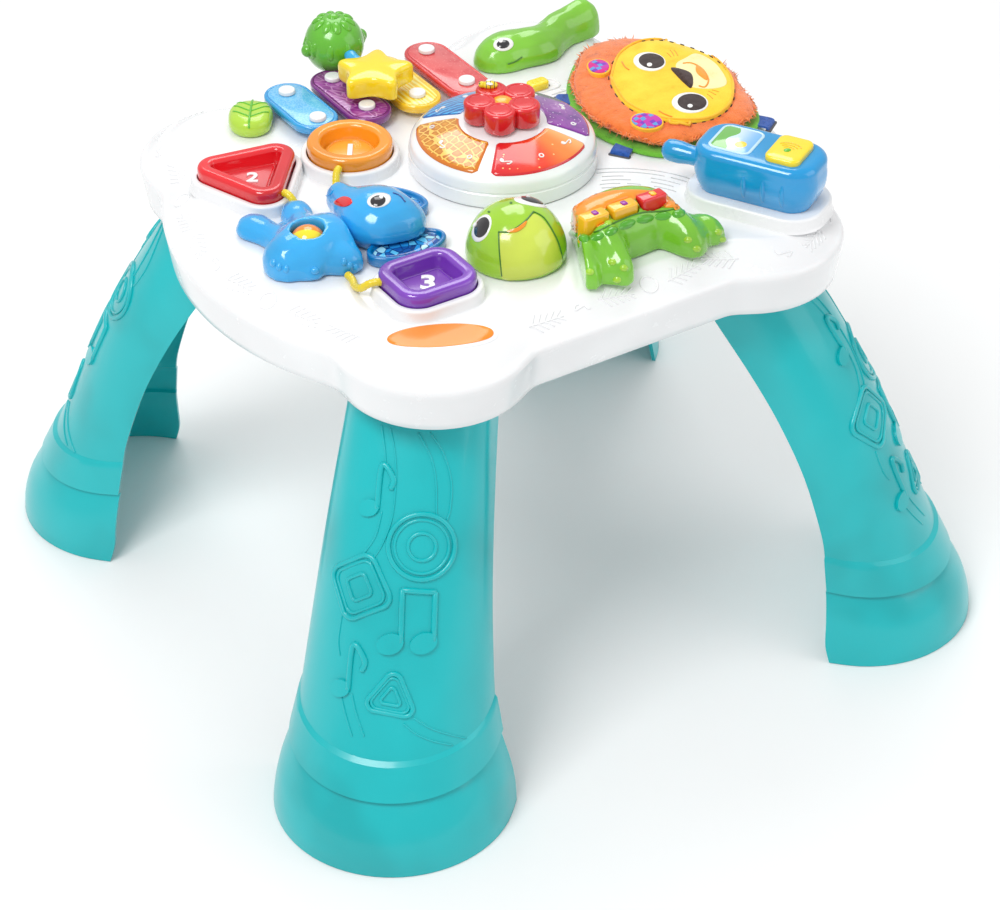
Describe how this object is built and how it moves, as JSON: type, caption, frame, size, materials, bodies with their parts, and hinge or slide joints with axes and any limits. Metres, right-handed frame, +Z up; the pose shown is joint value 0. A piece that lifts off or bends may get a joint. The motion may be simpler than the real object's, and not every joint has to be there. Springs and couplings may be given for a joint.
{
  "type": "activity table",
  "caption": "Toddler's activity table: white lobed top with light dome, ring buttons, bars, animal figures and a soft page, on turquoise legs.",
  "frame": {"origin": "on the floor under the middle of the table", "axes": "+Z up, turtle side towards -Y, elephant side towards -X, lion page towards +X"},
  "size_m": [0.5642, 0.5642, 0.3846],
  "materials": {
    "white_shell": "glossy",
    "turquoise_plastic": "satin",
    "steel": "satin",
    "dark_plastic": "matt",
    "board": "matt",
    "orange_plastic": "glossy",
    "red_plastic": "glossy",
    "purple_plastic": "glossy",
    "yellow_plastic": "glossy",
    "sky_plastic": "glossy",
    "blue_plastic": "glossy",
    "green_plastic": "glossy",
    "orange_plush": "napped",
    "green_fabric": "woven"
  },
  "bodies": {
    "table": {"backing_page": "green_fabric", "base_cover": "white_shell", "base_screw_1": "steel", "base_screw_2": "steel", "base_screw_3": "steel", "base_screw_4": "steel", "battery_1": "dark_plastic", "battery_2": "dark_plastic", "battery_3": "dark_plastic", "battery_door": "white_shell", "battery_door_screw": "steel", "circuit_board": "board", "dome_housing": "white_shell", "elephant_body": "sky_plastic", "elephant_ear_far": "blue_plastic", "elephant_ear_near": "blue_plastic", "elephant_head": "sky_plastic", "green_bean_figure": "green_plastic", "leaf": "green_plastic", "leg_back": "turquoise_plastic", "leg_front": "turquoise_plastic", "leg_left": "turquoise_plastic", "leg_right": "turquoise_plastic", "light_panel_blue": "sky_plastic", "light_panel_orange": "orange_plastic", "light_panel_purple": "purple_plastic", "light_panel_red": "red_plastic", "phone": "blue_plastic", "speaker": "dark_plastic", "string_circle": "yellow_plastic", "string_square": "yellow_plastic", "string_triangle": "yellow_plastic", "table_top": "white_shell", "turtle_body": "green_plastic", "turtle_head": "green_plastic", "xylophone_bar_blue": "sky_plastic", "xylophone_bar_purple": "purple_plastic", "xylophone_bar_red": "red_plastic", "xylophone_bar_yellow": "yellow_plastic"},
    "circle_ring": {"circle_button": "orange_plastic", "circle_number_disc": "orange_plastic"},
    "triangle_ring": {"triangle_button": "red_plastic", "triangle_number_disc": "red_plastic"},
    "square_ring": {"square_button": "purple_plastic", "square_number_disc": "purple_plastic"},
    "flower": {"flower_spinner": "red_plastic", "flower_centre": "orange_plastic", "bee": "dark_plastic"},
    "belly_ball": {"belly_roller": "orange_plastic"},
    "key_1": {"piano_key_1": "orange_plastic"},
    "key_2": {"piano_key_2": "orange_plastic"},
    "key_3": {"piano_key_3": "red_plastic"},
    "mallet": {"mallet_ball": "green_plastic", "mallet_star": "yellow_plastic", "mallet_rod": "sky_plastic"},
    "page": {"lion_page": "orange_plush"},
    "phone_button": {"phone_key": "yellow_plastic"},
    "volume_knob": {"volume_slider": "yellow_plastic"}
  },
  "joints": [
    {"name": "circle_press", "type": "slide", "parent": "table", "child": "circle_ring", "axis": [0, 0, -1], "range_m": [0, 0.003], "stiffness_N_per_m": 300},
    {"name": "triangle_press", "type": "slide", "parent": "table", "child": "triangle_ring", "axis": [0, 0, -1], "range_m": [0, 0.003], "stiffness_N_per_m": 300},
    {"name": "square_press", "type": "slide", "parent": "table", "child": "square_ring", "axis": [0, 0, -1], "range_m": [0, 0.003], "stiffness_N_per_m": 300},
    {"name": "flower_spin", "type": "hinge", "parent": "table", "child": "flower", "pos_m": [0.018, 0.005, 0.363], "axis": [0, 0, 1], "continuous": true},
    {"name": "belly_spin", "type": "hinge", "parent": "table", "child": "belly_ball", "pos_m": [-0.161, -0.037, 0.3428], "axis": [0.848, -0.5299, 0], "continuous": true},
    {"name": "piano_key_1_press", "type": "slide", "parent": "table", "child": "key_1", "axis": [0, 0, -1], "range_m": [0, 0.002], "stiffness_N_per_m": 250},
    {"name": "piano_key_2_press", "type": "slide", "parent": "table", "child": "key_2", "axis": [0, 0, -1], "range_m": [0, 0.002], "stiffness_N_per_m": 250},
    {"name": "piano_key_3_press", "type": "slide", "parent": "table", "child": "key_3", "axis": [0, 0, -1], "range_m": [0, 0.002], "stiffness_N_per_m": 250},
    {"name": "mallet_swing", "type": "hinge", "parent": "table", "child": "mallet", "pos_m": [-0.017, 0.179, 0.3435], "axis": [0, 0, 1], "range_deg": [-28, 28]},
    {"name": "page_flip", "type": "hinge", "parent": "table", "child": "page", "pos_m": [0.094, 0.014, 0.3322], "axis": [0, -1, 0], "range_deg": [0, 70]},
    {"name": "phone_key_press", "type": "slide", "parent": "table", "child": "phone_button", "axis": [0, 0, -1], "range_m": [0, 0.0025], "stiffness_N_per_m": 300},
    {"name": "volume_slide", "type": "slide", "parent": "table", "child": "volume_knob", "axis": [1, 0, 0], "range_m": [-0.007, 0.007]}
  ]
}
